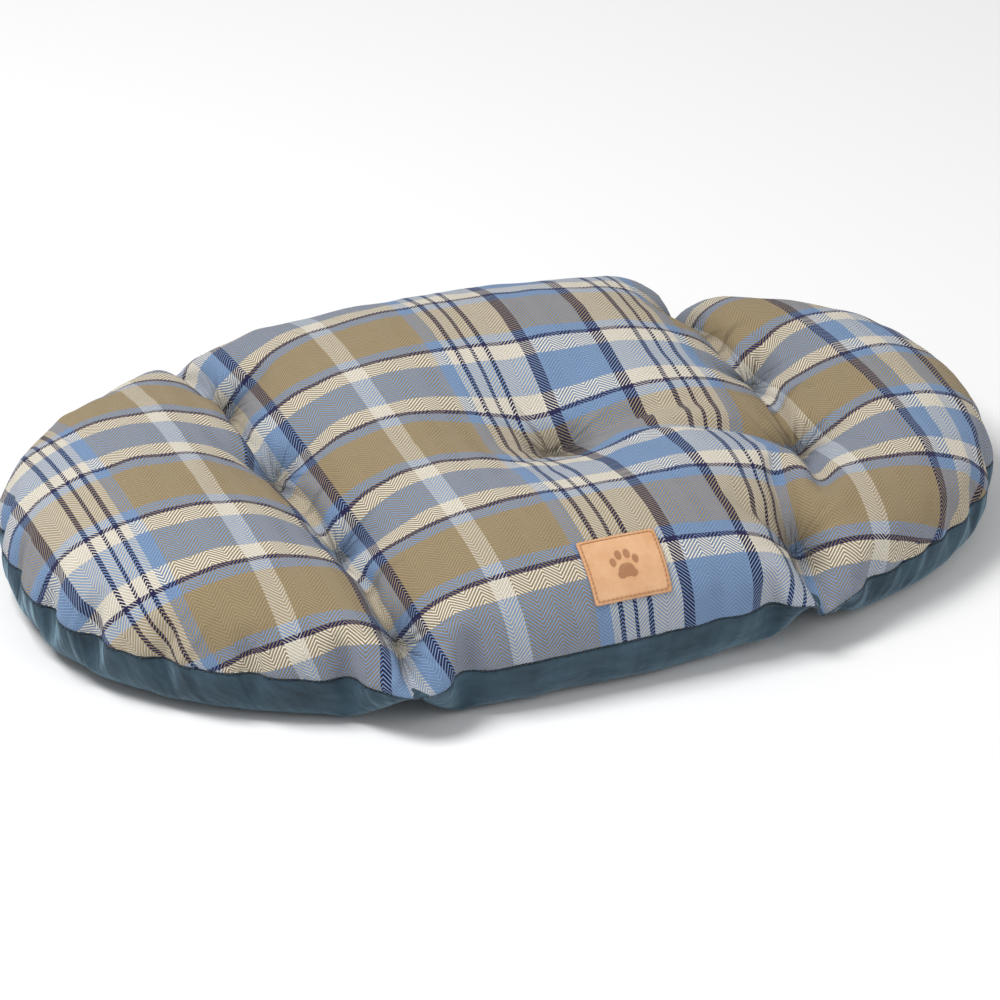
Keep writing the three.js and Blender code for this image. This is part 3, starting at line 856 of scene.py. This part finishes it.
class PatchBed:
    """The smooth surface that the patch lies on: a cubic through the cloth under it."""

    def __init__(self):
        shares = np.linspace(-0.5, 0.5, BED_SAMPLES)
        across, up = np.meshgrid(shares, shares)
        points = np.stack([across.ravel(), up.ravel()], 1) * PATCH_SIZE
        cloth, _ = cushion.over(to_flat([PATCH_CENTRE])[0] + points / cushion.scale)
        self.terms = np.linalg.lstsq(powers(points), cloth, rcond=None)[0]
        fitted, ways = self.at(points)
        self.lift = ((cloth - fitted) * ways).sum(1).max() + PATCH_GAP

    def at(self, points):
        points = np.asarray(points, float)
        across, up = (
            powers(points + step) @ self.terms - powers(points - step) @ self.terms
            for step in np.array([(BED_STEP, 0), (0, BED_STEP)])
        )
        return powers(points) @ self.terms, unit(np.cross(across, up))

    def raised(self, points, height):
        places, ways = self.at(points)
        return places + ways * (self.lift + np.asarray(height)).reshape(-1, 1)


def rounded_rectangle(width, height, corner, spacing):
    """Points at about even distances round a rectangle with round corners, anticlockwise."""
    half = np.array([width / 2 - corner, height / 2 - corner])
    points = []
    for quarter, (x, y) in enumerate([(1, 1), (-1, 1), (-1, -1), (1, -1)]):
        for step in range(CORNER_STEPS + 1):
            angle = (quarter + step / CORNER_STEPS) * math.pi / 2
            points.append(half * (x, y) + corner * np.array([math.cos(angle), math.sin(angle)]))
    points = np.array(points + points[:1])
    run = np.concatenate([[0], np.cumsum(np.hypot(*np.diff(points, axis=0).T))])
    places = np.linspace(0, run[-1], round(run[-1] / spacing), endpoint=False)
    return np.stack([np.interp(places, run, points[:, k]) for k in (0, 1)], 1)


def smooth_step(values, low, high):
    share = np.clip((values - low) / (high - low), 0, 1)
    return share * share * (3 - 2 * share)


def paw(points):
    """1 inside the pads of a paw print and 0 outside."""
    inside = np.zeros(len(points))
    for x, y, half_width, half_height in PAW_TOES + PAW_PADS:
        ring = np.hypot((points[:, 0] - x) / half_width, (points[:, 1] - y) / half_height)
        edge = (ring - 1) * min(half_width, half_height)
        inside = np.maximum(inside, 1 - smooth_step(edge, -PAW_EDGE, PAW_EDGE))
    return inside


def stitch_holes():
    width, height = (side - 2 * STITCH_INSET for side in PATCH_SIZE)
    return rounded_rectangle(width, height, STITCH_CORNER, STITCH_PITCH)


def nested_rings(rings, count):
    """Faces of a closed skin of rings, with one more vertex inside the first and the last ring."""
    faces = []
    for ring in range(rings - 1):
        a, b = ring * count, (ring + 1) * count
        for i in range(count):
            j = (i + 1) % count
            faces.append([a + i, b + i, b + j, a + j])
    last_ring = (rings - 1) * count
    first_end, last_end = rings * count, rings * count + 1
    for i in range(count):
        j = (i + 1) % count
        faces.append([first_end, i, j])
        faces.append([last_ring + j, last_ring + i, last_end])
    return faces


def leather_patch(bed):
    """The patch: its upper face has the pressed paw print and a dent at each stitch hole."""
    outline = rounded_rectangle(*PATCH_SIZE, PATCH_CORNER, OUTLINE_SPACING)
    count = len(outline)
    shares = np.array(RING_SHARES)
    over = (shares[:, None, None] * outline).reshape(-1, 2)
    to_edge = np.repeat(1 - shares, count) * min(PATCH_SIZE) / 2
    to_hole = np.min([np.hypot(*(over - hole).T) for hole in stitch_holes()], axis=0)
    pressed = paw(over)
    dents = DENT_DEPTH * np.exp(-((to_hole / DENT_RADIUS) ** 2))
    rounding = EDGE_DROP * (1 - smooth_step(to_edge, 0.0, EDGE_WIDTH))
    height = PATCH_THICKNESS - PAW_DEPTH * pressed - dents - rounding
    top = bed.raised(over, height)
    wall_heights = np.repeat([PATCH_THICKNESS - WALL_TOP, WALL_FOOT], count)
    wall = bed.raised(np.concatenate([outline, outline]), wall_heights)
    under = bed.raised(np.concatenate([outline * 0.99, outline * 0.5]), np.zeros(2 * count))
    middle_height = PATCH_THICKNESS - PAW_DEPTH * paw(np.zeros((1, 2)))[0]
    ends = bed.raised([(0, 0), (0, 0)], [middle_height, 0])
    vertices = np.concatenate([top, wall, under, ends])
    faces = nested_rings(len(shares) + 4, count)
    piece = add_mesh("patch", vertices, faces, leather(), "leather_patch")
    shade = np.zeros(len(vertices))
    cut = 1 - smooth_step(to_edge, 0.0, 1.3)
    shade[: len(over)] = np.maximum.reduce([pressed * 0.9, dents * 1.6, cut * 0.5])
    shade[len(over) :] = 0.8
    shade[-2] = 0.0
    piece.data.attributes.new("pressed", "FLOAT", "POINT").data.foreach_set("value", shade)


def patch_stitches(bed):
    """A stitch from each hole to the next, over the leather."""
    holes = stitch_holes()
    parts = []
    for start, end in zip(holes, np.roll(holes, -1, 0)):
        points = start + STITCH_SHARES[:, None] * (end - start)
        path = bed.raised(points, PATCH_THICKNESS + STITCH_HEIGHTS)
        parts.append(tube(path, STITCH_RADIUS, 8, False))
    vertices, faces = joined(parts)
    material = yarn("patch_yarn", srgb(176, 116, 66), srgb(222, 168, 116))
    piece = add_mesh("patch_thread", vertices, faces, material, "patch_stitching")
    smoothed(piece)


patch_bed = PatchBed()
leather_patch(patch_bed)
patch_stitches(patch_bed)

# ------------------------------------------------------------------ floor, lights and camera

CAMERA_AZIMUTH = math.radians(-19.2)
CAMERA_ELEVATION = math.radians(30.9)
CAMERA_DISTANCE = 5.0
CAMERA_LENS = 279.5
CAMERA_SHIFT = (0.0005, -0.019)
AIM = Vector((0, 0, 0.045))
FLOOR_HALF = 15.0
FLOOR_WHITE = 0.93
SKY_STRENGTH = 0.38


def point_at(item, place, target):
    item.location = place
    item.rotation_euler = (Vector(target) - Vector(place)).to_track_quat("-Z", "Y").to_euler()
    bpy.context.scene.collection.objects.link(item)


def add_camera():
    away = Vector(
        (
            math.sin(CAMERA_AZIMUTH) * math.cos(CAMERA_ELEVATION),
            -math.cos(CAMERA_AZIMUTH) * math.cos(CAMERA_ELEVATION),
            math.sin(CAMERA_ELEVATION),
        )
    )
    data = bpy.data.cameras.new("camera")
    data.lens = CAMERA_LENS
    data.sensor_width = 36
    data.shift_x, data.shift_y = CAMERA_SHIFT
    data.clip_end = 50
    camera = bpy.data.objects.new("camera", data)
    point_at(camera, AIM + away * CAMERA_DISTANCE, AIM)
    bpy.context.scene.camera = camera


def add_light(name, place, size, power):
    data = bpy.data.lights.new(name, "AREA")
    data.size = size
    data.energy = power
    point_at(bpy.data.objects.new(name, data), place, (0, 0, 0))


def add_floor():
    mesh = bpy.data.meshes.new("floor")
    corners = [(FLOOR_HALF * x, FLOOR_HALF * y, 0) for x, y in ((-1, -1), (1, -1), (1, 1), (-1, 1))]
    mesh.from_pydata(corners, [], [(0, 1, 2, 3)])
    floor_shader = Shader("floor", Roughness=0.9)
    floor_shader.surface.inputs["Base Color"].default_value = (*[FLOOR_WHITE] * 3, 1)
    mesh.materials.append(floor_shader.material)
    floor = bpy.data.objects.new("floor", mesh)
    bpy.context.scene.collection.objects.link(floor)


def add_world():
    world = bpy.data.worlds.new("studio")
    world.use_nodes = True
    background = world.node_tree.nodes["Background"]
    background.inputs["Color"].default_value = (1, 1, 1, 1)
    background.inputs["Strength"].default_value = SKY_STRENGTH
    bpy.context.scene.world = world


add_camera()
add_floor()
add_world()
add_light("key", (-1.1, 0.1, 2.2), 1.0, 47)
add_light("fill", (1.8, -2.0, 1.8), 2.0, 24)
bpy.context.scene.view_settings.view_transform = "Standard"
